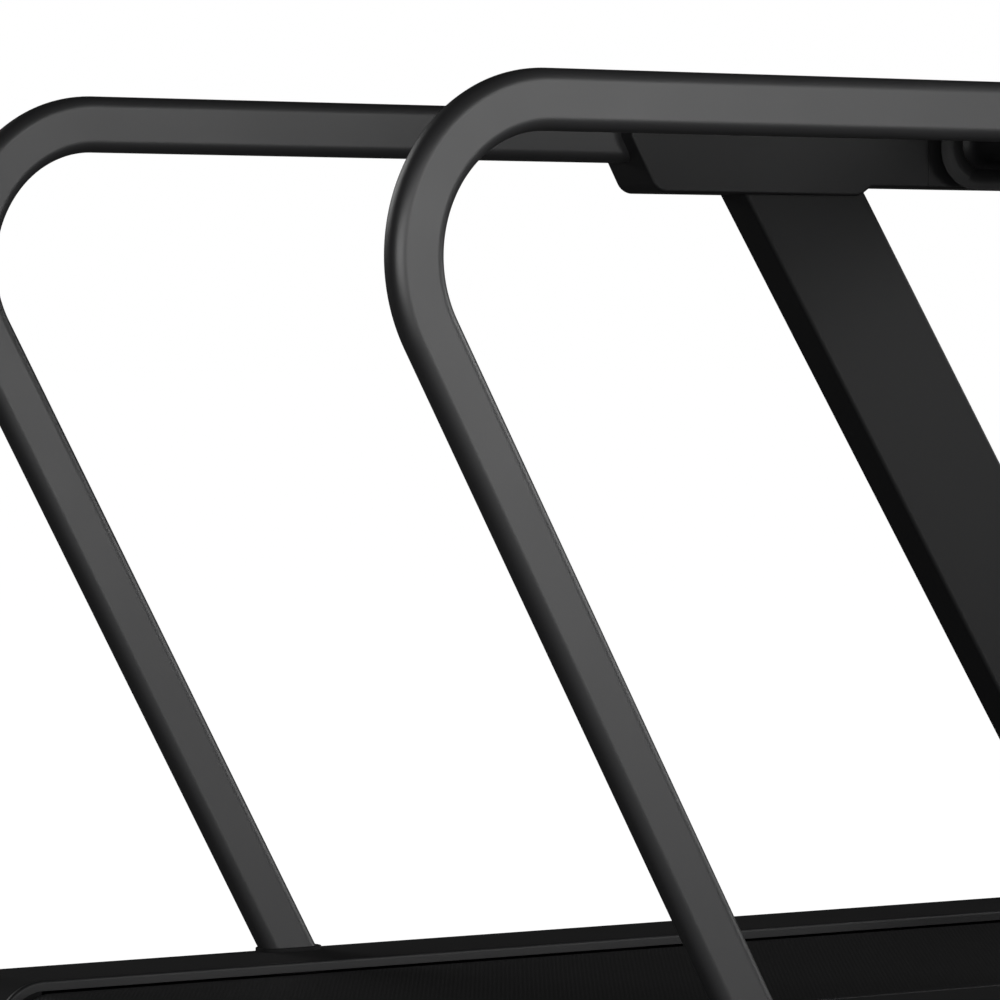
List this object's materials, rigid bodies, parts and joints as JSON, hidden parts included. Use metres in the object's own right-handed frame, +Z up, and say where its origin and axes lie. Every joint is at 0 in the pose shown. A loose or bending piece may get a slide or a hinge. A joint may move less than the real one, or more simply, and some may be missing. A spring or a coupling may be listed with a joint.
{
  "type": "treadmill",
  "caption": "Motorised treadmill with full-length bent handrails, leaning flat masts, a crossbar console, side platforms, a textured belt and a powered incline lift.",
  "frame": {"origin": "on the floor, under the middle of the machine", "axes": "+X forward, towards the console; +Y to the left of someone on the belt; +Z up"},
  "size_m": [2.1, 0.908, 1.5491],
  "materials": {
    "frame_paint": "black powder coat",
    "rail_paint": "fine-textured charcoal powder coat",
    "mast_paint": "smooth satin black powder coat",
    "cover_plastic": "moulded ABS with a fine spark-eroded texture",
    "platform_plastic": "moulded, matte, fine non-slip texture",
    "bead_plastic": "satin extruded trim",
    "face_plastic": "fine matte moulded plastic",
    "display_gloss": "polished acrylic",
    "belt_pvc": "PVC-faced belt with a fine diamond texture",
    "phenolic_board": "phenolic-faced fibreboard",
    "plated_steel": "zinc plated",
    "stainless": "brushed stainless",
    "cast_housing": "machined casting",
    "heat_sink": "extruded aluminium",
    "motor_paint": "satin enamel",
    "black_rubber": "moulded rubber",
    "green_key": "moulded",
    "red_key": "moulded"
  },
  "bodies": {
    "frame": {"side_rails": "frame_paint", "crossmembers": "frame_paint", "deck_board": "phenolic_board", "deck_cushions": "black_rubber", "side_platform_left": "platform_plastic", "side_platform_right": "platform_plastic", "edge_bead_left": "bead_plastic", "edge_bead_right": "bead_plastic", "rear_end_cap_left": "platform_plastic", "rear_end_cap_right": "platform_plastic", "running_belt": "belt_pvc", "rear_axle": "plated_steel", "tension_bolts": "plated_steel", "handrail_left": "rail_paint", "handrail_right": "rail_paint", "leg_collars": "bead_plastic", "mast_left": "mast_paint", "mast_right": "mast_paint", "mast_base_covers": "cover_plastic", "bracket_cover_left": "cover_plastic", "bracket_cover_right": "cover_plastic", "console_arm_left": "cover_plastic", "console_arm_right": "cover_plastic", "crossbar": "cover_plastic", "pulse_grips": "stainless", "console_base": "cover_plastic", "console_back": "cover_plastic", "console_front": "face_plastic", "display_lens": "display_gloss", "cup_holders": "black_rubber", "reading_ledge": "cover_plastic", "motor_hood": "cover_plastic", "belly_pan": "cover_plastic", "motor_body": "motor_paint", "motor_mount": "plated_steel", "drive_belt": "black_rubber", "motor_controller": "heat_sink", "lift_motor": "motor_paint", "power_inlet": "face_plastic", "flange_bearings": "cast_housing", "frame_bolts": "plated_steel", "cover_screws": "plated_steel"},
    "front_roller": {"front_roller": "plated_steel", "roller_pulley": "face_plastic"},
    "rear_roller": {"rear_roller": "plated_steel"},
    "motor_rotor": {"motor_shaft": "plated_steel", "flywheel": "cast_housing", "motor_pulley": "heat_sink"},
    "lift_frame": {"lift_frame": "frame_paint"},
    "wheel_left": {"lift_wheel_left": "black_rubber"},
    "wheel_right": {"lift_wheel_right": "black_rubber"},
    "actuator": {"lift_tube": "plated_steel"},
    "foot_left": {"levelling_foot_left": "black_rubber"},
    "foot_right": {"levelling_foot_right": "black_rubber"},
    "start_key": {"start_key": "green_key"},
    "stop_key": {"stop_key": "red_key"},
    "speed_rocker": {"speed_rocker": "face_plastic"},
    "incline_rocker": {"incline_rocker": "face_plastic"},
    "safety_key": {"safety_key": "red_key"},
    "power_rocker": {"power_rocker": "face_plastic"}
  },
  "joints": [
    {"name": "front_roller_spin", "type": "hinge", "parent": "frame", "child": "front_roller", "pos_m": [0.643, 0, 0.1667], "axis": [0, 1, 0], "continuous": true},
    {"name": "rear_roller_spin", "type": "hinge", "parent": "frame", "child": "rear_roller", "pos_m": [-0.992, 0, 0.1667], "axis": [0, 1, 0], "continuous": true},
    {"name": "motor_spin", "type": "hinge", "parent": "frame", "child": "motor_rotor", "pos_m": [0.85, 0, 0.215], "axis": [0, 1, 0], "continuous": true},
    {"name": "lift_turn", "type": "hinge", "parent": "frame", "child": "lift_frame", "pos_m": [0.735, 0, 0.095], "axis": [0, 1, 0], "range_deg": [0, 55]},
    {"name": "actuator_slide", "type": "slide", "parent": "frame", "child": "actuator", "axis": [1, 0, 0], "range_m": [0, 0.05099]},
    {"name": "wheel_left_spin", "type": "hinge", "parent": "lift_frame", "child": "wheel_left", "pos_m": [1, 0, 0.038], "axis": [0, 1, 0], "continuous": true},
    {"name": "wheel_right_spin", "type": "hinge", "parent": "lift_frame", "child": "wheel_right", "pos_m": [1, 0, 0.038], "axis": [0, 1, 0], "continuous": true},
    {"name": "foot_left_screw", "type": "slide", "parent": "frame", "child": "foot_left", "axis": [0, 0, -1], "range_m": [0, 0.012]},
    {"name": "foot_right_screw", "type": "slide", "parent": "frame", "child": "foot_right", "axis": [0, 0, -1], "range_m": [0, 0.012]},
    {"name": "start_press", "type": "slide", "parent": "frame", "child": "start_key", "axis": [0.9397, 0, -0.342], "range_m": [0, 0.002], "stiffness_N_per_m": 900},
    {"name": "stop_press", "type": "slide", "parent": "frame", "child": "stop_key", "axis": [0.9397, 0, -0.342], "range_m": [0, 0.002], "stiffness_N_per_m": 900},
    {"name": "speed_rock", "type": "hinge", "parent": "frame", "child": "speed_rocker", "pos_m": [0.4488, -0.215, 1.25577], "axis": [0, 1, 0], "range_deg": [-5, 5], "stiffness_Nm_per_rad": 0.6},
    {"name": "incline_rock", "type": "hinge", "parent": "frame", "child": "incline_rocker", "pos_m": [0.4488, 0.215, 1.25577], "axis": [0, 1, 0], "range_deg": [-5, 5], "stiffness_Nm_per_rad": 0.6},
    {"name": "safety_pull", "type": "slide", "parent": "frame", "child": "safety_key", "axis": [-0.9397, 0, 0.342], "range_m": [0, 0.03]},
    {"name": "power_rock", "type": "hinge", "parent": "frame", "child": "power_rocker", "pos_m": [1.043, -0.264, 0.149], "axis": [0, 1, 0], "range_deg": [-8, 8]}
  ],
  "couplings": [
    {"joint": "rear_roller_spin", "follows": "front_roller_spin", "ratio": 1},
    {"joint": "motor_spin", "follows": "front_roller_spin", "ratio": 2.5},
    {"joint": "actuator_slide", "follows": "lift_turn", "m_per_rad": 0.052912}
  ]
}
